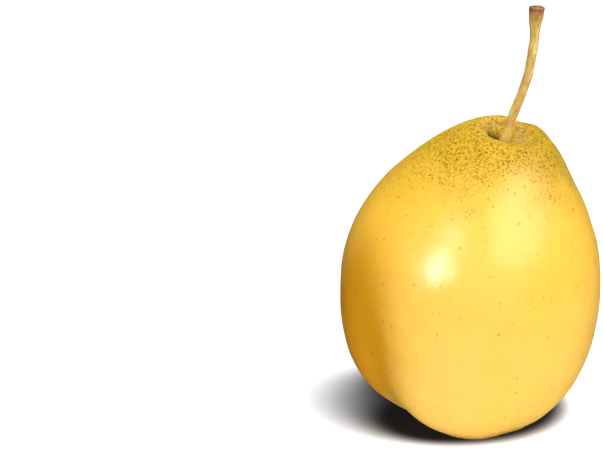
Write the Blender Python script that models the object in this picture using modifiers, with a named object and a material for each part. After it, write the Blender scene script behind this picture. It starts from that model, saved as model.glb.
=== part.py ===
"""Ya pear standing on its calyx end: the fruit, grown as one lobed solid, and its woody stalk.

Metres, +Z up. The resting plane is z = 0, and the origin is under the middle of the pear's
box. -Y is the front, and the stalk leans towards +X.
"""
import math

import bmesh
import bpy
from mathutils import Vector

# Fruit: overall sizes
FRUIT_DIAMETER = 0.0756        # of the turned belly, before the valleys are pressed in
FRUIT_HEIGHT = 0.0910          # from the lowest lobe to the rim of the stalk's hollow
SHOULDER_SHIFT = 0.0106        # how far the hollow's rim leans to +X from the belly's middle
SHIFT_START = 0.55             # share of the height where that lean begins
BASE_SHIFT = 0.0032            # how far the underside leans to +X
BASE_SHIFT_END = 0.22          # share of the height where that lean has faded
RIM_RISE_BACK = 0.115          # slope by which the top rim rises towards the back
RIM_RISE_LEFT = 0.133          # slope by which it rises towards -X

# Flank from the top rim down to the resting ring, as (share of radius, share of height)
FLANK = (
    (0.363, 0.971),
    (0.485, 0.925),
    (0.633, 0.854),
    (0.810, 0.754),
    (0.946, 0.634),
    (0.997, 0.495),
    (0.988, 0.366),
    (0.929, 0.247),
    (0.806, 0.149),
    (0.653, 0.077),
    (0.505, 0.029),
)

# Hollow round the stalk
HOLLOW_RIM_RADIUS = 0.0074
HOLLOW_DEPTH = 0.0056
HOLLOW_FLOOR_RADIUS = 0.0034
HOLLOW_FLOOR_RISE = 0.20       # share of the depth regained at the floor's radius
HOLLOW_WALL_RISE = 0.78        # share regained halfway from there to the rim
HOLLOW_FLOOR_SHIFT = -0.0028    # the hollow's floor lies to the -X side of its rim's middle

# Calyx pit on the underside, with the ring that the fruit rests on round it
REST_RING_RADIUS = 0.0145
PIT_DEPTH = 0.0105
PIT_MOUTH_RADIUS = 0.0085
PIT_THROAT_RADIUS = 0.0038
PIT_MOUTH_RISE = 0.22          # share of the pit's depth at its mouth's radius
PIT_THROAT_RISE = 0.78         # share of the pit's depth at its throat's radius
REST_TRIM = 0.0005             # depth of the small flat pressed on the lobes' tips

# Valleys between the lobes, as (angle at the base, turn by full height, depth, width,
# share of height where it has faded); angles in degrees, anticlockwise from +X
BASE_VALLEYS = (
    (222.8, -22.5, 0.0027, 11.5, 0.74),
    (302.0, 10.0, 0.0009, 20.0, 0.36),
    (14.0, 0.0, 0.0011, 20.0, 0.42),
    (88.0, 0.0, 0.0012, 20.0, 0.46),
    (158.0, 0.0, 0.0010, 20.0, 0.40),
)
# Soft ribs below the rim, as (angle, depth, width, share of height where they have faded)
SHOULDER_VALLEYS = (
    (306.0, 0.0008, 15.0, 0.55),
    (215.0, 0.0006, 18.0, 0.62),
    (20.0, 0.0007, 18.0, 0.60),
    (100.0, 0.0007, 18.0, 0.58),
)

# Stalk: its middle line above the hollow's floor, from the stalk's foot, as (x, y, z)
STALK_FOOT_OFFSET = Vector((0.0001, 0.0, 0.0))     # from the middle of the hollow's floor
STALK_LINE = (
    (0.0000, 0.0, 0.0000),
    (0.0010, 0.0, 0.0052),
    (0.0025, 0.0, 0.0105),
    (0.0045, 0.0, 0.0165),
    (0.0061, 0.0, 0.0225),
    (0.0070, 0.0, 0.0290),
    (0.0073, 0.0, 0.0345),
    (0.0075, 0.0, 0.0395),
    (0.0076, 0.0, 0.0418),
)
STALK_DIAMETER = 0.0024
STALK_FOOT_DIAMETER = 0.0032
STALK_KNOB_DIAMETER = 0.0042
STALK_KNOB_LENGTH = 0.0050
STALK_FOOT_LENGTH = 0.0070
ROOT_DEPTH = 0.0050            # length of stalk seated in the flesh
ROOT_CLEARANCE = 0.0003        # gap all round the seated root

# Fineness of the meshes
MERGE_DISTANCE = 0.00002
FRUIT_SEGMENTS = 56
RINGS_PER_SPAN = 2
STALK_SIDES_SETTING = 2        # bevel resolution: 8 sides
STALK_POINTS_PER_SPAN = 3

# Finishes
SKIN_COLOUR = (0.90, 0.58, 0.12, 1.0)
SKIN_ROUGHNESS = 0.30
WOOD_COLOUR = (0.42, 0.26, 0.09, 1.0)
WOOD_ROUGHNESS = 0.60


def smooth_line(points, per_span):
    """Catmull-Rom line through the points, as a list of vectors."""
    knots = [Vector(p) for p in points]
    knots = [2 * knots[0] - knots[1], *knots, 2 * knots[-1] - knots[-2]]
    line = []
    for i in range(1, len(knots) - 2):
        before, start, end, after = knots[i - 1:i + 3]
        for k in range(per_span):
            t = k / per_span
            line.append(0.5 * (
                2 * start
                + (end - before) * t
                + (2 * before - 5 * start + 4 * end - after) * t ** 2
                + (3 * start - before - 3 * end + after) * t ** 3
            ))
    line.append(knots[-2])
    return line


def ease(value):
    """Smooth step from 0 to 1."""
    value = min(max(value, 0.0), 1.0)
    return value * value * (3.0 - 2.0 * value)


def make_material(name, colour, roughness):
    """Principled material with a plain colour and roughness."""
    material = bpy.data.materials.new(name)
    material.use_nodes = True
    shader = material.node_tree.nodes["Principled BSDF"]
    shader.inputs["Base Color"].default_value = colour
    shader.inputs["Roughness"].default_value = roughness
    return material


def link_mesh(name, mesh, collection):
    """Object of a mesh, in a collection."""
    piece = bpy.data.objects.new(name, mesh)
    collection.objects.link(piece)
    return piece


def new_collection(name):
    """Collection linked to the scene."""
    collection = bpy.data.collections.new(name)
    bpy.context.scene.collection.children.link(collection)
    return collection


# ---------------------------------------------------------------- fruit

def fruit_profile():
    """Outline at +X, from the hollow's floor over the rim, down the flank, into the pit."""
    radius = FRUIT_DIAMETER / 2
    floor = FRUIT_HEIGHT - HOLLOW_DEPTH
    wall_radius = (HOLLOW_FLOOR_RADIUS + HOLLOW_RIM_RADIUS) / 2
    outline = [
        (0.0, 0.0, floor),
        (HOLLOW_FLOOR_RADIUS, 0.0, floor + HOLLOW_DEPTH * HOLLOW_FLOOR_RISE),
        (wall_radius, 0.0, floor + HOLLOW_DEPTH * HOLLOW_WALL_RISE),
        (HOLLOW_RIM_RADIUS, 0.0, FRUIT_HEIGHT),
    ]
    outline += [(radius * r, 0.0, FRUIT_HEIGHT * z) for r, z in FLANK]
    outline += [
        (REST_RING_RADIUS, 0.0, 0.0),
        (PIT_MOUTH_RADIUS, 0.0, PIT_DEPTH * PIT_MOUTH_RISE),
        (PIT_THROAT_RADIUS, 0.0, PIT_DEPTH * PIT_THROAT_RISE),
        (0.0, 0.0, PIT_DEPTH),
    ]
    return smooth_line(outline, RINGS_PER_SPAN)


def turn_profile(profile, collection):
    """Turn the outline round Z with a Screw modifier, and return it as one mesh object."""
    outline = bpy.data.meshes.new("fruit_outline")
    outline.from_pydata(profile, [(i, i + 1) for i in range(len(profile) - 1)], [])
    piece = link_mesh("fruit_turned", outline, collection)
    screw = piece.modifiers.new("turn", "SCREW")
    screw.axis = "Z"
    screw.steps = screw.render_steps = FRUIT_SEGMENTS
    screw.use_merge_vertices = True
    screw.merge_threshold = MERGE_DISTANCE
    screw.use_normal_calculate = False
    depsgraph = bpy.context.evaluated_depsgraph_get()
    body = bpy.data.meshes.new_from_object(piece.evaluated_get(depsgraph))
    bpy.data.objects.remove(piece)
    body.name = "fruit"
    return link_mesh("fruit", body, collection)


def groove(angle, middle, width):
    """Depth share of a valley at an angle, 1 along its middle; all in degrees."""
    apart = (angle - middle + 180.0) % 360.0 - 180.0
    return math.exp(-(apart / width) ** 2)


def valley_depth(point):
    """How far the skin is pressed in between the lobes and ribs at a turned point."""
    angle = math.degrees(math.atan2(point.y, point.x))
    height = point.z / FRUIT_HEIGHT
    across = math.hypot(point.x, point.y)
    depth = 0.0
    for middle, turn, deep, width, fade in BASE_VALLEYS:
        reach = ease(1.0 - height / fade) * ease(across / REST_RING_RADIUS)
        depth += deep * reach * groove(angle, middle + turn * height, width)
    for middle, deep, width, fade in SHOULDER_VALLEYS:
        reach = ease((height - fade) / (1.0 - fade)) * ease(across / (1.5 * HOLLOW_RIM_RADIUS))
        depth += deep * reach * groove(angle, middle, width)
    return depth


def middle_line(height):
    """Sideways place of the fruit's middle at a height, towards +X."""
    share = height / FRUIT_HEIGHT
    upper = max(0.0, (share - SHIFT_START) / (1.0 - SHIFT_START))
    lower = max(0.0, 1.0 - share / BASE_SHIFT_END)
    return SHOULDER_SHIFT * upper ** 2 + BASE_SHIFT * lower ** 2


def hollow_shift(point):
    """Sideways place of a point inside the stalk's hollow, whose floor is off its middle."""
    inside = 1.0 - math.hypot(point.x, point.y) / HOLLOW_RIM_RADIUS
    if point.z < FRUIT_HEIGHT / 2 or inside < 0.0:
        return 0.0
    return HOLLOW_FLOOR_SHIFT * ease(inside / (1.0 - HOLLOW_FLOOR_RADIUS / HOLLOW_RIM_RADIUS))


def shape_fruit(fruit):
    """Press the valleys into the turned body, tilt its rim and lean its top and base."""
    body = bmesh.new()
    body.from_mesh(fruit.data)
    bmesh.ops.remove_doubles(body, verts=body.verts, dist=MERGE_DISTANCE)
    bmesh.ops.recalc_face_normals(body, faces=body.faces)
    body.normal_update()
    pressed = [v.co - v.normal * valley_depth(v.co) for v in body.verts]
    for vert, place in zip(body.verts, pressed):
        rim_share = ease((place.z / FRUIT_HEIGHT - SHIFT_START) / (1.0 - SHIFT_START))
        shift = middle_line(place.z) + hollow_shift(place)
        lift = (RIM_RISE_BACK * place.y - RIM_RISE_LEFT * place.x) * rim_share
        vert.co = place + Vector((shift, 0.0, lift))
    lowest = min(v.co.z for v in body.verts)
    bmesh.ops.translate(body, verts=body.verts, vec=(0.0, 0.0, -lowest - REST_TRIM))
    body.to_mesh(fruit.data)
    body.free()
    return -lowest - REST_TRIM


def cut_with(piece, cutter, name):
    """Cut the cutter's shape out of a piece with a Boolean modifier."""
    cutter.hide_render = True
    cutter.display_type = "WIRE"
    boolean = piece.modifiers.new(name, "BOOLEAN")
    boolean.operation = "DIFFERENCE"
    boolean.solver = "EXACT"
    boolean.object = cutter


def ground_cutter(collection):
    """Block under the resting plane, which leaves the small flat on the lobes."""
    side = 2 * FRUIT_DIAMETER
    bpy.ops.mesh.primitive_cube_add(size=side, location=(0.0, 0.0, -side / 2))
    block = bpy.context.object
    block.name = "ground_cutter"
    for owner in list(block.users_collection):
        owner.objects.unlink(block)
    collection.objects.link(block)
    return block


# ---------------------------------------------------------------- stalk

def stalk_points(foot):
    """Middle line of the stalk: the seated root, then its free length up to the cut end."""
    free = [foot + Vector(p) for p in STALK_LINE]
    direction = (free[1] - free[0]).normalized()
    root = [free[0] - direction * ROOT_DEPTH, free[0] - direction * ROOT_DEPTH / 2]
    return smooth_line(root + free, STALK_POINTS_PER_SPAN)


def stalk_radius(along, length):
    """Radius at a distance from the root's end: a thicker foot, a shaft and a flared knob."""
    above_flesh = max(0.0, along - ROOT_DEPTH)
    foot = 1.0 - ease(above_flesh / STALK_FOOT_LENGTH)
    knob = ease(1.0 - (length - along) / STALK_KNOB_LENGTH)
    diameter = (
        STALK_DIAMETER
        + (STALK_FOOT_DIAMETER - STALK_DIAMETER) * foot
        + (STALK_KNOB_DIAMETER - STALK_DIAMETER) * knob
    )
    return diameter / 2


def stalk_curve(name, points, extra, collection):
    """Round tube along the points, its radius grown by extra."""
    curve = bpy.data.curves.new(name, "CURVE")
    curve.dimensions = "3D"
    curve.bevel_depth = 1.0
    curve.bevel_resolution = STALK_SIDES_SETTING
    curve.use_fill_caps = True
    spline = curve.splines.new("POLY")
    spline.points.add(len(points) - 1)
    steps = [0.0] + [(b - a).length for a, b in zip(points, points[1:])]
    length = sum(steps)
    along = 0.0
    for knot, place, step in zip(spline.points, points, steps):
        along += step
        knot.co = (*place, 1.0)
        knot.radius = stalk_radius(along, length) + extra
    piece = bpy.data.objects.new(name, curve)
    collection.objects.link(piece)
    return piece


def socket_cutter(points, collection):
    """The stalk's own shape grown by the clearance, as a mesh, to cut its socket."""
    start = points[0] + (points[0] - points[1]).normalized() * ROOT_CLEARANCE
    curve = stalk_curve("socket_curve", [start, *points], ROOT_CLEARANCE, collection)
    depsgraph = bpy.context.evaluated_depsgraph_get()
    mesh = bpy.data.meshes.new_from_object(curve.evaluated_get(depsgraph))
    bpy.data.objects.remove(curve)
    body = bmesh.new()
    body.from_mesh(mesh)
    bmesh.ops.remove_doubles(body, verts=body.verts, dist=MERGE_DISTANCE)
    bmesh.ops.recalc_face_normals(body, faces=body.faces)
    body.to_mesh(mesh)
    body.free()
    return link_mesh("socket_cutter", mesh, collection)


# ---------------------------------------------------------------- pear

for leftover in list(bpy.data.objects):
    bpy.data.objects.remove(leftover)

pear = new_collection("pear")
cutters = new_collection("pear_cutters")

fruit = turn_profile(fruit_profile(), pear)
settled = shape_fruit(fruit)
fruit.data.materials.append(make_material("waxy_skin", SKIN_COLOUR, SKIN_ROUGHNESS))
fruit.data.shade_smooth()
cut_with(fruit, ground_cutter(cutters), "rest_flat")

hollow_floor = FRUIT_HEIGHT - HOLLOW_DEPTH + settled
foot = Vector((SHOULDER_SHIFT + HOLLOW_FLOOR_SHIFT, 0.0, hollow_floor)) + STALK_FOOT_OFFSET
line = stalk_points(foot)
stem = stalk_curve("stem", line, 0.0, pear)
stem.data.materials.append(make_material("stalk_wood", WOOD_COLOUR, WOOD_ROUGHNESS))
cut_with(fruit, socket_cutter(line, cutters), "stalk_socket")

# The origin goes under the middle of the fruit's box, which holds the stalk's lean too.
corners = [Vector(corner) for corner in fruit.bound_box]
middle = (min(c.x for c in corners) + max(c.x for c in corners)) / 2
depth = (min(c.y for c in corners) + max(c.y for c in corners)) / 2
for piece in [*pear.objects, *cutters.objects]:
    piece.location -= Vector((middle, depth, 0.0))
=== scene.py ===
"""Ya pear standing on its calyx end, on a pale floor in soft studio light.

Metres, +Z up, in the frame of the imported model: the pear rests on z = 0, -Y is the front,
and the stalk leans towards +X.
"""

import math

import bpy
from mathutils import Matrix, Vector, noise


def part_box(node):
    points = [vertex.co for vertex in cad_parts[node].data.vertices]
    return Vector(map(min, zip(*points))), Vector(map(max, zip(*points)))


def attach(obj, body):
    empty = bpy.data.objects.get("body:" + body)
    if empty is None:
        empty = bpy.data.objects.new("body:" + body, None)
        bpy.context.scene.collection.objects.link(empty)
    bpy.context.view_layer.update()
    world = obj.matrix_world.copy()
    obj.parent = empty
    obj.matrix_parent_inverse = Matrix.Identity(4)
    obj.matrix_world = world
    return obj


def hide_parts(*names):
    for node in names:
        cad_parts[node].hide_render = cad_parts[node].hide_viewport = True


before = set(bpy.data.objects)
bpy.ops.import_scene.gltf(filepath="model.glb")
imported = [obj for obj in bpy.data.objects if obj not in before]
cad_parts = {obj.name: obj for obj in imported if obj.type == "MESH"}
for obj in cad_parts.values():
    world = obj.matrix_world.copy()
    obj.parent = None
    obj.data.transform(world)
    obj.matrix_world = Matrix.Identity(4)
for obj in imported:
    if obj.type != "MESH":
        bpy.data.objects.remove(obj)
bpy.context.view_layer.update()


# ---------------------------------------------------------------- fruit
# The fruit: one solid of crisp flesh under a thin waxy skin, grown round its core. Five soft
# lobes meet round the calyx pit that it stands on, and the crown leans towards +X, with a
# funnel in it for the stalk. Corky specks crowd round both ends.

fruit_low, fruit_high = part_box("fruit")
BELLY_RADIUS = (fruit_high.x - fruit_low.x) / 2
CROWN_HEIGHT = 0.9914 * fruit_high.z      # middle of the tilted rim; its back stands higher
FRUIT_SEGMENTS = 88
RINGS_PER_SPAN = 3

CROWN_LEAN = 0.0106            # how far the rim lies to +X of the belly's middle
LEAN_START = 0.55              # share of the height where that lean begins
BASE_LEAN = 0.0032             # how far the underside lies to +X
BASE_LEAN_END = 0.22           # share of the height where that has faded
RIM_RISE_BACK = 0.115          # slope by which the rim rises towards +Y
RIM_RISE_LEFT = 0.133          # slope by which it rises towards -X

# Calyx pit, from its closed end to the ring that the pear stands on, as (radius, height)
PIT = (
    (0.0016, 0.0104),
    (0.0038, 0.0082),
    (0.0085, 0.0023),
    (0.0145, 0.0000),
)
# Flank up to the rim, as (share of the belly's radius, share of the crown's height)
FLANK = (
    (0.505, 0.029),
    (0.653, 0.077),
    (0.806, 0.149),
    (0.929, 0.247),
    (0.988, 0.366),
    (0.997, 0.495),
    (0.946, 0.634),
    (0.810, 0.754),
    (0.633, 0.854),
    (0.485, 0.925),
    (0.363, 0.971),
)
# Stalk's funnel, from the rim down, as (radius, depth, x and y from the rim's middle). Its
# deep part lies off the middle, beside the stalk, so its +X wall is a long gentle slope.
FUNNEL = (
    (0.0092, 0.0000, 0.0000, 0.0000),
    (0.0075, 0.0004, -0.0002, -0.0003),
    (0.0058, 0.0011, -0.0010, -0.0008),
    (0.0044, 0.0020, -0.0020, -0.0012),
    (0.0032, 0.0032, -0.0030, -0.0015),
    (0.0022, 0.0048, -0.0039, -0.0016),
    (0.0011, 0.0061, -0.0045, -0.0016),
    (0.0005, 0.0067, -0.0046, -0.0016),
)

# Valleys between the lobes, as (angle at the base, turn by full height, depth, width,
# share of height where it has faded); angles in degrees, anticlockwise from +X
LOBE_VALLEYS = (
    (217.0, 24.0, 0.0026, 14.5, 0.47),
    (302.0, 10.0, 0.0009, 20.0, 0.36),
    (14.0, 0.0, 0.0011, 20.0, 0.42),
    (88.0, 0.0, 0.0012, 20.0, 0.46),
    (158.0, 0.0, 0.0010, 20.0, 0.40),
)
# Soft ribs below the rim, as (angle, depth, width, share of height where they have faded)
CROWN_VALLEYS = (
    (306.0, 0.0004, 15.0, 0.55),
    (215.0, 0.0006, 18.0, 0.62),
    (20.0, 0.0007, 18.0, 0.60),
    (74.0, 0.0016, 24.0, 0.72),
)
RIBS_START = 1.5 * FUNNEL[0][0]  # distance from the axis where the ribs are at full depth
VALLEY_FULL_DEPTH = 0.0032     # depth that a weight of one stands for

# Long hollow in the side above the deepest valley, as (angle, share of the height)
SIDE_HOLLOW = (218.0, 0.38)
SIDE_HOLLOW_SPREAD = (18.0, 0.24)
SIDE_HOLLOW_DEPTH = 0.0017
REST_TRIM = 0.0005             # depth of the small flats pressed on the lobes' tips


def smooth_line(points, per_span):
    """Catmull-Rom line through the points, as a list of vectors."""
    knots = [Vector(p) for p in points]
    knots = [2 * knots[0] - knots[1], *knots, 2 * knots[-1] - knots[-2]]
    line = []
    for i in range(1, len(knots) - 2):
        before, start, end, after = knots[i - 1:i + 3]
        for k in range(per_span):
            t = k / per_span
            line.append(0.5 * (
                2 * start
                + (end - before) * t
                + (2 * before - 5 * start + 4 * end - after) * t ** 2
                + (3 * start - before - 3 * end + after) * t ** 3
            ))
    line.append(knots[-2])
    return line


def ease(value):
    """Smooth step from 0 to 1."""
    value = min(max(value, 0.0), 1.0)
    return value * value * (3.0 - 2.0 * value)


def close_end():
    """Close the selected open ring to a point in its middle."""
    bpy.ops.mesh.extrude_region_move()
    bpy.ops.mesh.merge(type="CENTER")


def turned_rings(name, rings, segments):
    """Round body from a circle extruded through rings of (radius, x, y, z), its ends closed."""
    bpy.ops.object.select_all(action="DESELECT")
    radius, *centre = rings[0]
    bpy.ops.mesh.primitive_circle_add(vertices=segments, radius=radius, location=centre)
    bpy.ops.object.transform_apply(location=True)
    piece = bpy.context.object
    piece.name = name
    bpy.ops.object.mode_set(mode="EDIT")
    bpy.ops.mesh.select_all(action="SELECT")
    for new_radius, *new_centre in rings[1:]:
        step = Vector(new_centre) - Vector(centre)
        bpy.ops.mesh.extrude_region_move(TRANSFORM_OT_translate={"value": step})
        grow = new_radius / radius
        bpy.ops.transform.resize(value=(grow, grow, 1.0), center_override=new_centre)
        radius, centre = new_radius, new_centre
    close_end()
    bpy.ops.mesh.select_all(action="DESELECT")
    bpy.ops.mesh.select_non_manifold()
    close_end()
    bpy.ops.mesh.select_all(action="SELECT")
    bpy.ops.mesh.normals_make_consistent(inside=False)
    bpy.ops.object.mode_set(mode="OBJECT")
    return piece


def press(piece, name, depth, weight_at):
    """Press a piece in along its normals: a painted vertex group and an applied Displace."""
    group = piece.vertex_groups.new(name=name)
    for vert in piece.data.vertices:
        group.add([vert.index], weight_at(vert.co), "REPLACE")
    displace = piece.modifiers.new(name, "DISPLACE")
    displace.vertex_group = name
    displace.mid_level = 0.0
    displace.strength = -depth
    bpy.ops.object.modifier_apply(modifier=name)
    piece.vertex_groups.clear()


def subdivide(piece, levels):
    """Applied Subdivision Surface."""
    smooth = piece.modifiers.new("smooth", "SUBSURF")
    smooth.levels = smooth.render_levels = levels
    bpy.ops.object.modifier_apply(modifier="smooth")


def swell(piece, name, size, height):
    """Applied Displace that makes soft uneven swellings of a size and height."""
    cloud = bpy.data.textures.new(name, "CLOUDS")
    cloud.noise_scale = size
    cloud.noise_depth = 1
    displace = piece.modifiers.new(name, "DISPLACE")
    displace.texture = cloud
    displace.texture_coords = "LOCAL"
    displace.mid_level = 0.5
    displace.strength = height
    bpy.ops.object.modifier_apply(modifier=name)


def groove(angle, middle, width):
    """Depth share of a valley at an angle, 1 along its middle; all in degrees."""
    apart = (angle - middle + 180.0) % 360.0 - 180.0
    return math.exp(-(apart / width) ** 2)


def valley_weight(point):
    """How far the skin is drawn in between the lobes and ribs, as a share of the full depth."""
    angle = math.degrees(math.atan2(point.y, point.x))
    height = point.z / CROWN_HEIGHT
    across = math.hypot(point.x, point.y)
    depth = 0.0
    for middle, turn, deep, width, fade in LOBE_VALLEYS:
        reach = ease(1.0 - height / fade) * ease(across / PIT[-1][0])
        depth += deep * reach * groove(angle, middle + turn * height, width)
    for middle, deep, width, fade in CROWN_VALLEYS:
        reach = ease((height - fade) / (1.0 - fade)) * ease(across / RIBS_START)
        depth += deep * reach * groove(angle, middle, width)
    return depth / VALLEY_FULL_DEPTH


def side_hollow_weight(point):
    """Share of the side hollow's depth at a point."""
    angle = math.degrees(math.atan2(point.y, point.x))
    apart = (point.z / CROWN_HEIGHT - SIDE_HOLLOW[1]) / SIDE_HOLLOW_SPREAD[1]
    return groove(angle, SIDE_HOLLOW[0], SIDE_HOLLOW_SPREAD[0]) * math.exp(-apart ** 2)


outline = [(radius, 0.0, 0.0, height) for radius, height in PIT]
outline += [(BELLY_RADIUS * radius, 0.0, 0.0, CROWN_HEIGHT * height) for radius, height in FLANK]
outline += [(radius, x, y, CROWN_HEIGHT - depth) for radius, depth, x, y in FUNNEL]
fruit = turned_rings("ripe_fruit", smooth_line(outline, RINGS_PER_SPAN), FRUIT_SEGMENTS)
press(fruit, "valleys", VALLEY_FULL_DEPTH, valley_weight)
press(fruit, "side_hollow", SIDE_HOLLOW_DEPTH, side_hollow_weight)

# The crown leans and tilts, and the underside leans, through a lattice round the body.
LATTICE_LEVELS = 24
LATTICE_MARGIN = 1.10
lattice_size = Vector((2 * BELLY_RADIUS, 2 * BELLY_RADIUS, CROWN_HEIGHT)) * LATTICE_MARGIN
bpy.ops.object.add(type="LATTICE", location=(0.0, 0.0, CROWN_HEIGHT / 2))
lattice = bpy.context.object
lattice.scale = lattice_size
lattice.data.points_u = lattice.data.points_v = 2
lattice.data.points_w = LATTICE_LEVELS
lattice.data.interpolation_type_u = lattice.data.interpolation_type_v = "KEY_LINEAR"
lattice.data.interpolation_type_w = "KEY_LINEAR"
for knot in lattice.data.points:
    place = knot.co * lattice_size.x
    share = 0.5 + knot.co.z * LATTICE_MARGIN
    upper = max(0.0, (share - LEAN_START) / (1.0 - LEAN_START))
    lower = max(0.0, 1.0 - share / BASE_LEAN_END)
    shift = CROWN_LEAN * upper ** 2 + BASE_LEAN * lower ** 2
    lift = (RIM_RISE_BACK * place.y - RIM_RISE_LEFT * place.x) * ease(upper)
    knot.co_deform += Vector((shift / lattice_size.x, 0.0, lift / lattice_size.z))
bpy.ops.object.select_all(action="DESELECT")
fruit.select_set(True)
bpy.context.view_layer.objects.active = fruit
lean = fruit.modifiers.new("lean", "LATTICE")
lean.object = lattice
bpy.ops.object.modifier_apply(modifier="lean")
bpy.data.objects.remove(lattice)

subdivide(fruit, levels=2)
swell(fruit, "swellings", size=0.018, height=0.0006)
swell(fruit, "dimples", size=0.0032, height=0.00009)

# A crease runs up the funnel from the stalk's foot to the back right.
STALK_FOOT = Vector((CROWN_LEAN - 0.0027, 0.0))    # where the stalk stands, level
CREASE_DIRECTION = Vector((0.60, 0.80))            # level
CREASE_DEPTH = 0.0010
CREASE_HALF_WIDTH = 0.0011
CREASE_START_LENGTH = 0.0020   # length over which it deepens
CREASE_LENGTH = 0.0080
CREASE_END_LENGTH = 0.0040     # length over which it fades again


def crease_weight(point):
    """Share of the crease's depth at a point."""
    out = Vector((point.x - STALK_FOOT.x, point.y - STALK_FOOT.y))
    along = out.dot(CREASE_DIRECTION)
    aside = (out - CREASE_DIRECTION * along).length
    if point.z < CROWN_HEIGHT / 2:
        return 0.0
    start = ease(along / CREASE_START_LENGTH)
    end = ease((CREASE_LENGTH - along) / CREASE_END_LENGTH)
    return start * end * math.exp(-(aside / CREASE_HALF_WIDTH) ** 2)


press(fruit, "funnel_crease", CREASE_DEPTH, crease_weight)

# It settles on its lobes, whose tips go flat where they rest.
lowest = min(vert.co.z for vert in fruit.data.vertices)
bpy.ops.object.mode_set(mode="EDIT")
bpy.ops.mesh.select_all(action="SELECT")
bpy.ops.transform.translate(value=(0.0, 0.0, -lowest - REST_TRIM))
bpy.ops.mesh.select_all(action="DESELECT")
bpy.ops.object.mode_set(mode="OBJECT")
for vert in fruit.data.vertices:
    vert.select = vert.co.z < 0.0
bpy.ops.object.mode_set(mode="EDIT")
bpy.ops.transform.resize(value=(1.0, 1.0, 0.0), center_override=(0.0, 0.0, 0.0))
bpy.ops.object.mode_set(mode="OBJECT")
bpy.ops.object.shade_smooth()

# Skin: golden-yellow wax over pale flesh, ochre and olive round the stalk, and russet in the funnel
# and the calyx pit. Painted shade: amber down the lower left side and on the underside, and dark
# brown in the hole beside the stalk and in the pit's closed end.
SKIN_YELLOW = (0.90, 0.555, 0.102, 1.0)
SHOULDER_GOLD = (0.90, 0.52, 0.048, 1.0)
MOTTLE_GOLD = (0.87, 0.48, 0.048, 1.0)
PAINTED_SHADE_AMBER = (0.70, 0.31, 0.003, 1.0)
CROWN_OCHRE = (0.65, 0.40, 0.020, 1.0)
SIDE_OLIVE = (0.47, 0.30, 0.014, 1.0)
RUSSET_TAN = (0.52, 0.33, 0.10, 1.0)
SPECK_BROWN = (0.12, 0.060, 0.000, 1.0)
FLECK_OLIVE = (0.30, 0.170, 0.000, 1.0)
HOLE_SHADE_BROWN = (0.07, 0.030, 0.006, 1.0)

# A pair is the start and the end of a smooth change: of height, of distance or of noise.
DRIFT_SIZE = 0.018             # slow drifts that make every edge of colour wander
CROWN_DRIFT = 0.034            # how far they move the crown's edge up and down
CROWN_SLOPE = 0.16             # slope by which that edge drops towards +X
CROWN_OCHRE_HEIGHTS = (0.085, 0.109)
CROWN_RUSSET_HEIGHTS = (0.087, 0.108)
SHOULDER_HEIGHTS = (0.052, 0.086)
CROWN_SIDE_OLIVE = (0.003, 0.024)      # along X
UPPER_HALF = (0.060, 0.070)            # keeps the funnel's patterns off the underside

CLEAR_PLACE = (0.011, -0.0215, 0.0757)     # where the crown's russet thins at the front
CLEAR_STRETCH = (1.0, 1.0, 0.8)
CLEAR_REACH = (0.014, 0.003)
CLEAR_LIFT = 0.007             # how far the crown's edge lies higher there

SIDE_SHADE_PLACE = (-0.033, -0.018, 0.031)      # middle of the amber painted shade down the lower left side
SIDE_SHADE_STRETCH = (1.0, 1.0, 0.56)
SIDE_SHADE_REACH = (0.028, 0.014)
SIDE_SHADE_DRIFT = 0.006

UNDER_REACH, UNDER_HEIGHTS = (0.028, 0.012), (0.016, 0.004)
FUNNEL_REACH = (0.0105, 0.0050)
PIT_REACH, PIT_HEIGHTS = (0.0150, 0.0060), (0.020, 0.006)
DEEP_PIT_REACH, DEEP_PIT_HEIGHTS = (0.0090, 0.0030), (0.014, 0.006)
HOLE_PLACE = (CROWN_LEAN + FUNNEL[-1][2], FUNNEL[-1][3])
HOLE_REACH, HOLE_DEPTHS = (0.0044, 0.0024), (0.0015, 0.0040)

MOTTLE_SIZE, MOTTLE_NOISE = 0.0050, (0.30, 0.70)
CRACK_SIZE, CRACK_NOISE = 0.0028, (0.35, 0.60)
FLECK_SIZE, FLECK_NOISE = 0.00070, (0.49, 0.60)
GRAIN_SIZE = 0.0011

# Corky specks, as (size of a cell, radius as a share of the cell, share of the cells that
# hold one at the two ends, on the shoulder and everywhere)
SPECKS = (
    (0.00078, 0.55, 0.83, 0.12, 0.00),
    (0.0014, 0.44, 0.78, 0.10, 0.03),
    (0.0027, 0.23, 0.60, 0.00, 0.20),
)
SPECK_STRENGTH = 0.50
SPECK_STRENGTH_AT_ENDS = 0.40          # on top of that

SKIN_ROUGHNESS, GRAIN_ROUGHNESS, CORK_ROUGHNESS = 0.36, 0.12, 0.20
GRAIN_RELIEF, SPECK_RELIEF = 0.000025, -0.00005
WAX_WEIGHT, WAX_LOST_AT_ENDS = 0.60, 0.57


def new_material(name):
    """Material with its node tree and its shader."""
    material = bpy.data.materials.new(name)
    material.use_nodes = True
    return material, material.node_tree, material.node_tree.nodes["Principled BSDF"]


def feed(tree, socket, source):
    """Link a source socket to a node's input, or set the input to a number or colour."""
    if isinstance(source, bpy.types.NodeSocket):
        tree.links.new(source, socket)
    else:
        socket.default_value = source


def calc(tree, operation, *sources, clamp=False):
    """Math node on sockets or numbers."""
    node = tree.nodes.new("ShaderNodeMath")
    node.operation = operation
    node.use_clamp = clamp
    for socket, source in zip(node.inputs, sources):
        feed(tree, socket, source)
    return node.outputs[0]


def ramp(tree, value, start, end, low=0.0, high=1.0):
    """Smooth Map Range of a value from start..end to low..high."""
    node = tree.nodes.new("ShaderNodeMapRange")
    node.interpolation_type = "SMOOTHSTEP"
    for socket, source in zip(node.inputs, (value, start, end, low, high)):
        feed(tree, socket, source)
    return node.outputs[0]


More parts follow.
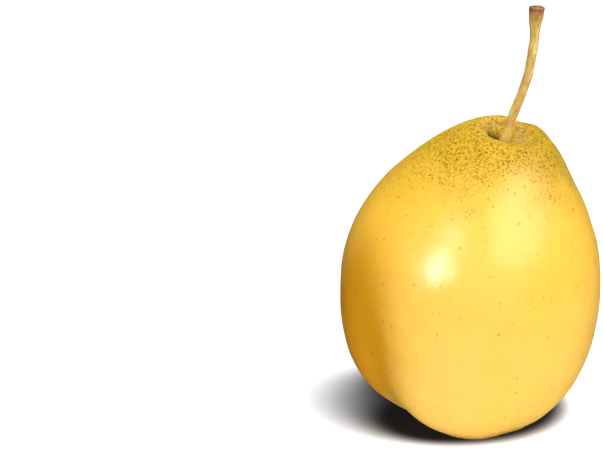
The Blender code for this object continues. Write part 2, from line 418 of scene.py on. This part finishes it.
def blend_colour(tree, factor, first, second, share=1.0):
    """Mix node between two colours, its inputs 6 and 7, by a share of the factor."""
    if share < 1.0:
        factor = calc(tree, "MULTIPLY", factor, share)
    node = tree.nodes.new("ShaderNodeMix")
    node.data_type = "RGBA"
    feed(tree, node.inputs[0], factor)
    feed(tree, node.inputs[6], first)
    feed(tree, node.inputs[7], second)
    return node.outputs[2]


def cloudy(tree, vector, size, detail=2.0):
    """Noise of a size in metres, about 0 to 1."""
    node = tree.nodes.new("ShaderNodeTexNoise")
    feed(tree, node.inputs["Vector"], vector)
    node.inputs["Scale"].default_value = 1.0 / size
    node.inputs["Detail"].default_value = detail
    return node.outputs[0]


def round_patch(tree, from_axis, reach, height, heights):
    """Mask of a round patch, between two distances from an axis and between two heights."""
    return calc(tree, "MULTIPLY", ramp(tree, from_axis, *reach), ramp(tree, height, *heights))


def relief_bump(tree, shader, relief):
    """Relief in metres on the shader's Normal."""
    bump = tree.nodes.new("ShaderNodeBump")
    bump.inputs["Distance"].default_value = 1.0
    tree.links.new(relief, bump.inputs["Height"])
    tree.links.new(bump.outputs[0], shader.inputs["Normal"])


def distance_from_axis(tree, vector, x, y):
    """Level distance from an upright line through x, y."""
    flat = tree.nodes.new("ShaderNodeVectorMath")
    flat.operation = "MULTIPLY"
    feed(tree, flat.inputs[0], vector)
    flat.inputs[1].default_value = (1.0, 1.0, 0.0)
    apart = tree.nodes.new("ShaderNodeVectorMath")
    apart.operation = "DISTANCE"
    tree.links.new(flat.outputs[0], apart.inputs[0])
    apart.inputs[1].default_value = (x, y, 0.0)
    return apart.outputs["Value"]


def distance_from_point(tree, vector, centre, stretch):
    """Distance from a point, with each axis scaled."""
    apart = tree.nodes.new("ShaderNodeVectorMath")
    apart.operation = "SUBTRACT"
    feed(tree, apart.inputs[0], vector)
    apart.inputs[1].default_value = centre
    scaled = tree.nodes.new("ShaderNodeVectorMath")
    scaled.operation = "MULTIPLY"
    tree.links.new(apart.outputs[0], scaled.inputs[0])
    scaled.inputs[1].default_value = stretch
    length = tree.nodes.new("ShaderNodeVectorMath")
    length.operation = "LENGTH"
    tree.links.new(scaled.outputs[0], length.inputs[0])
    return length.outputs["Value"]


SMALLEST_SPECK = 0.25          # share of the full radius
FAINTEST_SPECK = 0.4           # share of the full strength
SPECK_CORE = 0.45              # share of a speck's radius that is at full strength


def specks_group():
    """Node group of round specks of uneven size: Vector, Cell, Radius and Share in, Mask out."""
    group = bpy.data.node_groups.new("corky_specks", "ShaderNodeTree")
    group.interface.new_socket("Vector", in_out="INPUT", socket_type="NodeSocketVector")
    for name in ("Cell", "Radius", "Share"):
        group.interface.new_socket(name, in_out="INPUT", socket_type="NodeSocketFloat")
    group.interface.new_socket("Mask", in_out="OUTPUT", socket_type="NodeSocketFloat")
    into = group.nodes.new("NodeGroupInput").outputs
    cells = group.nodes.new("ShaderNodeTexVoronoi")
    group.links.new(into["Vector"], cells.inputs["Vector"])
    group.links.new(calc(group, "DIVIDE", 1.0, into["Cell"]), cells.inputs["Scale"])
    chance = group.nodes.new("ShaderNodeSeparateColor")
    group.links.new(cells.outputs["Color"], chance.inputs[0])
    there = calc(group, "LESS_THAN", chance.outputs[0], into["Share"])
    uneven = calc(group, "MULTIPLY_ADD", chance.outputs[1], 1.0 - SMALLEST_SPECK, SMALLEST_SPECK)
    radius = calc(group, "MULTIPLY", into["Radius"], uneven)
    core = calc(group, "MULTIPLY", radius, SPECK_CORE)
    round_mask = ramp(group, cells.outputs["Distance"], radius, core)
    strength = calc(group, "MULTIPLY_ADD", chance.outputs[2], 1.0 - FAINTEST_SPECK, FAINTEST_SPECK)
    mask = calc(group, "MULTIPLY", calc(group, "MULTIPLY", round_mask, there), strength)
    out = group.nodes.new("NodeGroupOutput")
    group.links.new(mask, out.inputs["Mask"])
    return group


corky_specks = specks_group()


def specks(tree, vector, cell, radius, share):
    """Mask of specks, one to a cell of a size in metres, in a share of the cells."""
    node = tree.nodes.new("ShaderNodeGroup")
    node.node_tree = corky_specks
    for name, source in (("Vector", vector), ("Cell", cell), ("Radius", radius), ("Share", share)):
        feed(tree, node.inputs[name], source)
    return node.outputs["Mask"]


skin, tree, shader = new_material("waxy_skin")
place = tree.nodes.new("ShaderNodeTexCoord").outputs["Object"]
split = tree.nodes.new("ShaderNodeSeparateXYZ")
tree.links.new(place, split.inputs[0])
height = split.outputs["Z"]
from_stalk = distance_from_axis(tree, place, STALK_FOOT.x, STALK_FOOT.y)
from_pit = distance_from_axis(tree, place, BASE_LEAN, 0.0)

# Height with a wandering edge, the crown and underside, and both ends together
drift = cloudy(tree, place, DRIFT_SIZE, detail=3.0)
leaning = calc(tree, "MULTIPLY_ADD", split.outputs["X"], CROWN_SLOPE, height)
wander = calc(tree, "MULTIPLY_ADD", drift, CROWN_DRIFT, leaning)
clear = ramp(tree, distance_from_point(tree, place, CLEAR_PLACE, CLEAR_STRETCH), *CLEAR_REACH)
wander = calc(tree, "MULTIPLY_ADD", clear, -CLEAR_LIFT, wander)
crown = ramp(tree, wander, *CROWN_OCHRE_HEIGHTS)
crown_edge = ramp(tree, wander, *CROWN_RUSSET_HEIGHTS)
shoulder = ramp(tree, wander, *SHOULDER_HEIGHTS)
under = round_patch(tree, from_pit, UNDER_REACH, height, UNDER_HEIGHTS)
ends = calc(tree, "MAXIMUM", crown_edge, under)

mottle = ramp(tree, cloudy(tree, place, MOTTLE_SIZE, detail=4.0), *MOTTLE_NOISE)
colour = blend_colour(tree, shoulder, SKIN_YELLOW, SHOULDER_GOLD)
colour = blend_colour(tree, mottle, colour, MOTTLE_GOLD, share=0.35)
colour = blend_colour(tree, crown, colour, CROWN_OCHRE)
olive = calc(tree, "MULTIPLY", crown_edge, ramp(tree, split.outputs["X"], *CROWN_SIDE_OLIVE))
colour = blend_colour(tree, olive, colour, SIDE_OLIVE, share=0.75)
# Amber painted shade on the underside, round the calyx pit
colour = blend_colour(tree, under, colour, PAINTED_SHADE_AMBER, share=0.6)
# Amber painted shade down the lower left side
from_side_shade = distance_from_point(tree, place, SIDE_SHADE_PLACE, SIDE_SHADE_STRETCH)
from_side_shade = calc(tree, "MULTIPLY_ADD", drift, SIDE_SHADE_DRIFT, from_side_shade)
colour = blend_colour(tree, ramp(tree, from_side_shade, *SIDE_SHADE_REACH), colour, PAINTED_SHADE_AMBER)

# Russet: a net of fine cracks in the funnel and the pit
in_funnel = round_patch(tree, from_stalk, FUNNEL_REACH, height, UPPER_HALF)
in_pit = round_patch(tree, from_pit, PIT_REACH, height, PIT_HEIGHTS)
cracks = ramp(tree, cloudy(tree, place, CRACK_SIZE, detail=4.0), *CRACK_NOISE)
russet = calc(tree, "MULTIPLY", calc(tree, "MAXIMUM", in_funnel, in_pit), cracks)
colour = blend_colour(tree, russet, colour, RUSSET_TAN, share=0.7)

# Corky flecks and specks, crowded round both ends and thin elsewhere
flecks = ramp(tree, cloudy(tree, place, FLECK_SIZE, detail=2.0), *FLECK_NOISE)
flecks = calc(tree, "MULTIPLY", flecks, ends)
colour = blend_colour(tree, flecks, colour, FLECK_OLIVE, share=0.75)
speckled = 0.0
for cell, radius, at_ends, on_shoulder, everywhere in SPECKS:
    share = calc(tree, "MULTIPLY_ADD", shoulder, on_shoulder, everywhere)
    share = calc(tree, "MULTIPLY_ADD", ends, at_ends, share)
    speckled = calc(tree, "MAXIMUM", speckled, specks(tree, place, cell, radius, share))
strength = calc(tree, "MULTIPLY_ADD", ends, SPECK_STRENGTH_AT_ENDS, SPECK_STRENGTH)
colour = blend_colour(tree, calc(tree, "MULTIPLY", speckled, strength), colour, SPECK_BROWN)

# Dark brown painted shade in the pit's closed end and in the hole beside the stalk, whose depth is
# below the tilted rim
deep_pit_shade = round_patch(tree, from_pit, DEEP_PIT_REACH, height, DEEP_PIT_HEIGHTS)
below_rim = tree.nodes.new("ShaderNodeVectorMath")
below_rim.operation = "DOT_PRODUCT"
tree.links.new(place, below_rim.inputs[0])
below_rim.inputs[1].default_value = (-RIM_RISE_LEFT, RIM_RISE_BACK, -1.0)
rim_height = CROWN_HEIGHT + RIM_RISE_LEFT * CROWN_LEAN
funnel_depth = calc(tree, "ADD", below_rim.outputs["Value"], rim_height)
from_hole = distance_from_axis(tree, place, *HOLE_PLACE)
hole_shade = round_patch(tree, from_hole, HOLE_REACH, funnel_depth, HOLE_DEPTHS)
hole_shade = calc(tree, "MULTIPLY", hole_shade, ramp(tree, height, *UPPER_HALF))
colour = blend_colour(tree, calc(tree, "MAXIMUM", deep_pit_shade, hole_shade), colour, HOLE_SHADE_BROWN)
tree.links.new(colour, shader.inputs["Base Color"])

# Wax: glossy on the flanks and dull over the cork
grain = cloudy(tree, place, GRAIN_SIZE, detail=3.0)
corky = calc(tree, "MAXIMUM", speckled, crown_edge)
roughness = calc(tree, "MULTIPLY_ADD", grain, GRAIN_ROUGHNESS, SKIN_ROUGHNESS)
roughness = calc(tree, "MULTIPLY_ADD", corky, CORK_ROUGHNESS, roughness)
roughness = calc(tree, "MULTIPLY_ADD", in_funnel, CORK_ROUGHNESS, roughness)
tree.links.new(roughness, shader.inputs["Roughness"])
sunken = calc(tree, "MULTIPLY", speckled, SPECK_RELIEF)
relief_bump(tree, shader, calc(tree, "MULTIPLY_ADD", grain, GRAIN_RELIEF, sunken))
dull = calc(tree, "MAXIMUM", crown_edge, in_pit)
waxy = calc(tree, "SUBTRACT", WAX_WEIGHT, calc(tree, "MULTIPLY", dull, WAX_LOST_AT_ENDS))
tree.links.new(waxy, shader.inputs["Coat Weight"])
shader.inputs["Coat Roughness"].default_value = 0.27
shader.inputs["Specular IOR Level"].default_value = 0.22
shader.inputs["Subsurface Weight"].default_value = 0.35
shader.inputs["Subsurface Radius"].default_value = (1.0, 0.45, 0.10)
shader.inputs["Subsurface Scale"].default_value = 0.006
fruit.data.materials.clear()
fruit.data.materials.append(skin)

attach(fruit, "root")
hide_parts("fruit")


# ---------------------------------------------------------------- stalk
# The stalk: a thin woody stem that bends up out of the funnel to a flared knob, where it was
# cut from the spur. Its foot swells and turns fleshy and green where it grows into the fruit.

stem_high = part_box("stem")[1]
KNOB_DIAMETER = 0.0049
STALK_DIAMETER = 0.0031       # the diameters are from before the bark is furrowed
FOOT_DIAMETER = 0.0046
KNOB_LENGTH = 0.0085
FOOT_LENGTH = 0.0065
ROOT_DEPTH = 0.0050            # length of stalk seated in the flesh
STALK_SEGMENTS = 24
STALK_RINGS_PER_SPAN = 5

# Middle line up from the foot, as (x, z)
STALK_LINE = (
    (0.0000, 0.0000),
    (0.0010, 0.0052),
    (0.0025, 0.0105),
    (0.0045, 0.0165),
    (0.0061, 0.0225),
    (0.0070, 0.0290),
    (0.0073, 0.0345),
    (0.0075, 0.0395),
    (0.0076, 0.0418),
)
KNOB_REACH = 0.0021            # from the knob's middle to the side of the stem's box
CUT_ROOM = 0.0002              # room over the knob for the cut end's rim
tip = Vector((stem_high.x - KNOB_REACH, 0.0, stem_high.z - CUT_ROOM))
foot = tip - Vector((STALK_LINE[-1][0], 0.0, STALK_LINE[-1][1]))
line = [foot + Vector((x, 0.0, z)) for x, z in STALK_LINE]
line.insert(0, line[0] - (line[1] - line[0]).normalized() * ROOT_DEPTH)
line = smooth_line(line, STALK_RINGS_PER_SPAN)
steps = [(end - start).length for start, end in zip(line, line[1:])]
length = sum(steps)


def stalk_radius(along):
    """Radius at a distance from the root's end: a thicker foot, a shaft and a flared knob."""
    foot_share = 1.0 - ease((along - ROOT_DEPTH) / FOOT_LENGTH)
    knob_share = ease(1.0 - (length - along) / KNOB_LENGTH)
    diameter = (
        STALK_DIAMETER
        + (FOOT_DIAMETER - STALK_DIAMETER) * foot_share
        + (KNOB_DIAMETER - STALK_DIAMETER) * knob_share
    )
    return diameter / 2


def lean_of(index):
    """Angle from upright of the middle line at a point, towards +X, in radians."""
    before, after = line[max(index - 1, 0)], line[min(index + 1, len(line) - 1)]
    return math.atan2(after.x - before.x, after.z - before.z)


def turn_ring(angle, centre):
    """Turn the selected ring about the Y axis through a centre, +Z towards +X."""
    bpy.ops.transform.rotate(value=-angle, orient_axis="Y", center_override=centre)


radius = stalk_radius(0.0)
turned = lean_of(0)
bpy.ops.object.select_all(action="DESELECT")
bpy.ops.mesh.primitive_circle_add(vertices=STALK_SEGMENTS, radius=radius, location=line[0])
bpy.ops.object.transform_apply(location=True)
stalk = bpy.context.object
stalk.name = "woody_stalk"
bpy.ops.object.mode_set(mode="EDIT")
bpy.ops.mesh.select_all(action="SELECT")
turn_ring(turned, line[0])
along = 0.0
for index in range(1, len(line)):
    along += steps[index - 1]
    step = line[index] - line[index - 1]
    bpy.ops.mesh.extrude_region_move(TRANSFORM_OT_translate={"value": step})
    grow = stalk_radius(along) / radius
    bpy.ops.transform.resize(value=(grow, grow, grow), center_override=line[index])
    turn_ring(lean_of(index) - turned, line[index])
    turned = lean_of(index)
    radius *= grow

# The cut end: a hard rim of bark round wood and pith that have shrunk and sunk, as
# (share of the radius, height) of each ring
CUT_END = ((0.93, 0.00018), (0.78, 0.00008), (0.66, -0.00034), (0.30, -0.00046))
share = 1.0
rise = 0.0
for new_share, new_rise in CUT_END:
    step = (0.0, 0.0, new_rise - rise)
    bpy.ops.mesh.extrude_region_move(TRANSFORM_OT_translate={"value": step})
    grow = new_share / share
    ring_middle = tip + Vector((0.0, 0.0, new_rise))
    bpy.ops.transform.resize(value=(grow, grow, grow), center_override=ring_middle)
    share, rise = new_share, new_rise
close_end()
bpy.ops.mesh.select_all(action="DESELECT")
bpy.ops.mesh.select_non_manifold()
close_end()
bpy.ops.mesh.select_all(action="SELECT")
bpy.ops.mesh.normals_make_consistent(inside=False)
bpy.ops.object.mode_set(mode="OBJECT")
subdivide(stalk, levels=2)

FURROW_DEPTH = 0.00022
FURROW_WAVES = (1300.0, 140.0)         # per metre, across and along
LUMP_DEPTH = 0.00030
LUMP_WAVES = 380.0


def line_at(height):
    """Sideways place of the stalk's middle line at a height."""
    for start, end in zip(line, line[1:]):
        if height <= end.z:
            break
    share = (height - start.z) / (end.z - start.z)
    return start.x + (end.x - start.x) * share


def furrow_weight(point):
    """Lengthwise furrows in the bark."""
    across, along = FURROW_WAVES
    side = point.x - line_at(point.z)
    return 0.5 + 0.5 * noise.noise(Vector((side * across, point.y * across, point.z * along)))


def lump_weight(point):
    """Uneven thickness, with a few old bud scars."""
    return 0.5 + 0.5 * noise.noise(point * LUMP_WAVES)


press(stalk, "furrows", FURROW_DEPTH, furrow_weight)
press(stalk, "lumps", LUMP_DEPTH, lump_weight)
bpy.ops.object.shade_smooth()

# The bark's streaks follow the bent stalk through an attribute: each point's place with the
# middle line straightened.
straight = stalk.data.attributes.new("straight_place", "FLOAT_VECTOR", "POINT")
for vert, entry in zip(stalk.data.vertices, straight.data):
    entry.vector = (vert.co.x - line_at(vert.co.z), vert.co.y, vert.co.z - foot.z)

# Bark: tan wood with pale and orange streaks, a green fleshy foot under an orange collar, and
# a red-brown blotched knob round a dark cut. Pairs of heights are above the foot.
WOOD_TAN = (0.585, 0.355, 0.069, 1.0)
STREAK_ORANGE = (0.53, 0.28, 0.046, 1.0)
PALE_STREAK = (0.74, 0.54, 0.15, 1.0)
FOOT_GREEN = (0.66, 0.46, 0.060, 1.0)
KNOB_RED = (0.36, 0.145, 0.040, 1.0)
CUT_BROWN = (0.10, 0.042, 0.020, 1.0)
STREAK_SIZE = 0.0007
STREAK_SQUASH = (1.0, 1.0, 0.16)       # makes the streaks about six times as long as wide
PALE_NOISE, ORANGE_NOISE = (0.50, 0.66), (0.74, 0.60)
PATCH_SIZE, PATCH_PULL = 0.0030, 0.5    # patches that draw the orange streaks together
FLESHY_HEIGHTS, FLESHY_DRIFT = (0.0088, 0.0060), 0.002
COLLAR_START, COLLAR_END = (0.0060, 0.0075), (0.0100, 0.0080)
KNOB_HEIGHTS, KNOB_DRIFT = (0.0385, 0.0445), 0.006
BLOTCH_SIZE, BLOTCH_NOISE, BLOTCH_HEIGHTS = 0.0013, (0.48, 0.62), (0.0370, 0.0410)
CUT_HEIGHTS = (0.0412, 0.0418)
BARK_DOTS = (0.0011, 0.42, 0.45)       # cell, radius as a share of it, share of the cells
BARK_ROUGHNESS, STREAK_ROUGHNESS = 0.42, 0.25
BARK_RELIEF = 0.00012
DOT_RELIEF = -0.4                      # share of the bark's relief

bark, tree, shader = new_material("stalk_bark")
attribute = tree.nodes.new("ShaderNodeAttribute")
attribute.attribute_name = "straight_place"
straight_place = attribute.outputs["Vector"]
squash = tree.nodes.new("ShaderNodeMapping")
squash.inputs["Scale"].default_value = STREAK_SQUASH
tree.links.new(straight_place, squash.inputs["Vector"])
split = tree.nodes.new("ShaderNodeSeparateXYZ")
tree.links.new(straight_place, split.inputs[0])
height = split.outputs["Z"]

streaks = cloudy(tree, squash.outputs[0], STREAK_SIZE, detail=4.0)
patches = cloudy(tree, straight_place, PATCH_SIZE, detail=3.0)
colour = blend_colour(tree, ramp(tree, streaks, *PALE_NOISE), WOOD_TAN, PALE_STREAK)
patchy = calc(tree, "ADD", streaks, calc(tree, "MULTIPLY", patches, PATCH_PULL))
colour = blend_colour(tree, ramp(tree, patchy, *ORANGE_NOISE), colour, STREAK_ORANGE)
fleshy = ramp(tree, calc(tree, "MULTIPLY_ADD", patches, FLESHY_DRIFT, height), *FLESHY_HEIGHTS)
collar = calc(tree, "MULTIPLY", ramp(tree, height, *COLLAR_START), ramp(tree, height, *COLLAR_END))
colour = blend_colour(tree, collar, colour, STREAK_ORANGE, share=0.6)
colour = blend_colour(tree, fleshy, colour, FOOT_GREEN, share=0.85)
knob = ramp(tree, calc(tree, "MULTIPLY_ADD", patches, KNOB_DRIFT, height), *KNOB_HEIGHTS)
colour = blend_colour(tree, knob, colour, KNOB_RED, share=0.85)
blotches = ramp(tree, cloudy(tree, straight_place, BLOTCH_SIZE, detail=3.0), *BLOTCH_NOISE)
blotches = calc(tree, "MULTIPLY", blotches, ramp(tree, height, *BLOTCH_HEIGHTS))
colour = blend_colour(tree, blotches, colour, CUT_BROWN, share=0.7)
colour = blend_colour(tree, ramp(tree, height, *CUT_HEIGHTS), colour, CUT_BROWN)
dots = specks(tree, straight_place, *BARK_DOTS)
colour = blend_colour(tree, dots, colour, CUT_BROWN, share=0.35)
tree.links.new(colour, shader.inputs["Base Color"])
roughness = calc(tree, "MULTIPLY_ADD", streaks, STREAK_ROUGHNESS, BARK_ROUGHNESS)
tree.links.new(roughness, shader.inputs["Roughness"])
relief = calc(tree, "ADD", streaks, calc(tree, "MULTIPLY", dots, DOT_RELIEF))
relief_bump(tree, shader, calc(tree, "MULTIPLY", relief, BARK_RELIEF))
stalk.data.materials.clear()
stalk.data.materials.append(bark)

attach(stalk, "root")
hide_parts("stem")


# ---------------------------------------------------------------- studio
# A pale paper floor with a light of its own that casts no shadow. The soft shadow under the pear
# is painted shade in the floor's material, as is the dark that the floor throws back to the pear's
# left and shows in its wax. The pear has an even overhead light, two softboxes that only glint in
# its wax, and four that only light it: front, right, back, and one below its lower left.

PEAR_MIDDLE = Vector((0.0, 0.0, 0.045))
FLOOR_SIZE = 12.0
FLOOR_PALE = (0.84, 0.86, 0.90, 1.0)
FLOOR_SHADE = (0.006, 0.006, 0.006, 1.0)   # painted shadow, close under the pear
FLOOR_BOUNCE = (0.70, 0.70, 0.70, 1.0)     # what the floor throws back to the pear's right
FLOOR_DARK = (0.02, 0.02, 0.02, 1.0)       # painted shade: what it throws back to the pear's left and from the shadow, and all it shows in the wax
BOUNCE_SIDES = (-0.11, 0.02)               # along X, from dark to full
SHADE_PLACE = (-0.0075, 0.0060, 0.0)       # middle of the painted shadow
SHADE_STRETCH = (0.70, 1.0, 1.0)           # it is wider than it is deep
SHADE_FADE_RIGHT = (0.0216, 0.0290)        # distances where its edge starts and ends
SHADE_FADE_LEFT = (0.0052, 0.0334)         # it is softest at its left
SHADE_CURVE = 2.0

bpy.ops.object.select_all(action="DESELECT")
bpy.ops.mesh.primitive_plane_add(size=FLOOR_SIZE, location=(0.0, 0.0, 0.0))
floor = bpy.context.object
floor.name = "floor"
paper, tree, shader = new_material("white_paper")
place = tree.nodes.new("ShaderNodeTexCoord").outputs["Object"]
split = tree.nodes.new("ShaderNodeSeparateXYZ")
tree.links.new(place, split.inputs[0])
rightwards = ramp(tree, split.outputs["X"], *BOUNCE_SIDES)
bounce = blend_colour(tree, rightwards, FLOOR_DARK, FLOOR_BOUNCE)
from_shade = distance_from_point(tree, place, SHADE_PLACE, SHADE_STRETCH)
leftward = calc(tree, "SUBTRACT", SHADE_PLACE[0], split.outputs["X"])
leftward = calc(tree, "MULTIPLY", leftward, SHADE_STRETCH[0])
leftward = calc(tree, "DIVIDE", leftward, from_shade, clamp=True)
leftward = calc(tree, "MULTIPLY", leftward, leftward)
fade = [
    calc(tree, "MULTIPLY_ADD", leftward, left - right, right)
    for left, right in zip(SHADE_FADE_LEFT, SHADE_FADE_RIGHT)
]
# Painted shadow, darkest at the middle of the shade, for the camera and in what the floor throws
# back
outwards = calc(tree, "POWER", ramp(tree, from_shade, *fade), SHADE_CURVE)
bounce = blend_colour(tree, outwards, FLOOR_DARK, bounce)
paper_with_painted_shadow = blend_colour(tree, outwards, FLOOR_SHADE, FLOOR_PALE)
path = tree.nodes.new("ShaderNodeLightPath").outputs
# Glossy rays see the floor painted dark
bounce = blend_colour(tree, path["Is Glossy Ray"], bounce, FLOOR_DARK)
tree.links.new(blend_colour(tree, path["Is Camera Ray"], bounce, paper_with_painted_shadow), shader.inputs["Base Color"])
shader.inputs["Roughness"].default_value = 0.6
shader.inputs["Specular IOR Level"].default_value = 0.05
floor.data.materials.append(paper)

# The lights for the pear leave the floor out. The floor's own casts no shadow.
LIGHT_DISTANCE = 0.9
lit_floor = bpy.data.collections.new("lit_floor")
lit_floor.objects.link(floor)
unlit_floor = bpy.data.collections.new("unlit_floor")
unlit_floor.objects.link(floor)
unlit_floor.collection_objects[0].light_linking.link_state = "EXCLUDE"


def aim(light, azimuth, elevation):
    """Turn a light to shine from an azimuth (from the front towards +X) and elevation."""
    turn, rise = math.radians(azimuth), math.radians(elevation)
    away = Vector((
        math.sin(turn) * math.cos(rise),
        -math.cos(turn) * math.cos(rise),
        math.sin(rise),
    ))
    light.rotation_euler = away.to_track_quat("Z", "Y").to_euler()
    return away


def broad_light(name, azimuth, elevation, angle, strength, receivers):
    """Even light from a wide round patch of the ceiling, with no glint of its own."""
    bpy.ops.object.light_add(type="SUN", location=(0.0, 0.0, 1.0))
    light = bpy.context.object
    light.name = name
    aim(light, azimuth, elevation)
    light.data.angle = math.radians(angle)
    light.data.energy = strength
    light.visible_glossy = False
    light.light_linking.receiver_collection = receivers
    return light


def softbox(name, azimuth, elevation, width, height, watts, glints):
    """Area light that faces the pear: it either glints in the wax, or lights with no glint."""
    bpy.ops.object.light_add(type="AREA")
    light = bpy.context.object
    light.name = name
    light.location = PEAR_MIDDLE + LIGHT_DISTANCE * aim(light, azimuth, elevation)
    light.data.shape = "ELLIPSE"
    light.data.size = width
    light.data.size_y = height
    light.data.energy = watts
    light.visible_glossy = glints
    light.visible_diffuse = not glints
    light.light_linking.receiver_collection = unlit_floor
    return light


floor_light = broad_light("floor_light", 28.0, 66.0, angle=26.0, strength=4.4, receivers=lit_floor)
floor_light.data.use_shadow = False
broad_light("overhead_light", -35.0, 66.0, angle=100.0, strength=3.55, receivers=unlit_floor)

# The pear's softboxes, as (name, azimuth, elevation, width, height, watts, whether it glints)
SOFTBOXES = (
    ("key_softbox", -32.0, 30.5, 0.22, 0.48, 7.2, True),
    ("front_fill", 13.0, 8.0, 1.10, 0.50, 4.6, False),
    ("right_window", 56.0, 44.0, 1.10, 0.60, 7.4, True),
    ("right_edge", 100.0, 14.0, 0.40, 0.60, 2.8, False),
    ("back_fill", 192.0, 32.0, 1.10, 0.60, 2.8, False),
    ("low_card", -45.0, -68.0, 0.60, 0.60, 3.0, False),
)
softboxes = {row[0]: softbox(*row) for row in SOFTBOXES}
softboxes["low_card"].light_linking.blocker_collection = unlit_floor    # it shines from below

SKY_SIDES = (-0.6, 0.7)                # along X, from dimmest to brightest
SKY_STRENGTHS = (0.02, 0.30)
world = bpy.data.worlds.new("studio_sky")
bpy.context.scene.world = world
world.use_nodes = True
tree = world.node_tree
tree.nodes.clear()
direction = tree.nodes.new("ShaderNodeTexCoord").outputs["Generated"]
split = tree.nodes.new("ShaderNodeSeparateXYZ")
tree.links.new(direction, split.inputs[0])
from_right = ramp(tree, split.outputs["X"], *SKY_SIDES, *SKY_STRENGTHS)
sky = tree.nodes.new("ShaderNodeBackground")
tree.links.new(from_right, sky.inputs["Strength"])
backdrop = tree.nodes.new("ShaderNodeBackground")
shown = tree.nodes.new("ShaderNodeMixShader")
tree.links.new(tree.nodes.new("ShaderNodeLightPath").outputs["Is Camera Ray"], shown.inputs[0])
tree.links.new(sky.outputs[0], shown.inputs[1])
tree.links.new(backdrop.outputs[0], shown.inputs[2])
backdrop.inputs["Color"].default_value = (1.0, 1.0, 1.0, 1.0)
tree.links.new(shown.outputs[0], tree.nodes.new("ShaderNodeOutputWorld").inputs["Surface"])

CAMERA_PLACE = (0.0, -0.53019, 0.29223)
CAMERA_PITCH = 23.956          # degrees down from level
CAMERA_TURN = 5.2845           # degrees to the left of the pear
CAMERA_LENS, CAMERA_SENSOR = 120.0, 36.0       # millimetres
bpy.ops.object.camera_add(location=CAMERA_PLACE)
camera = bpy.context.object
camera.rotation_euler = (math.radians(90.0 - CAMERA_PITCH), 0.0, math.radians(CAMERA_TURN))
camera.data.lens = CAMERA_LENS
camera.data.sensor_width = CAMERA_SENSOR
bpy.context.scene.camera = camera
bpy.context.scene.view_settings.view_transform = "Standard"
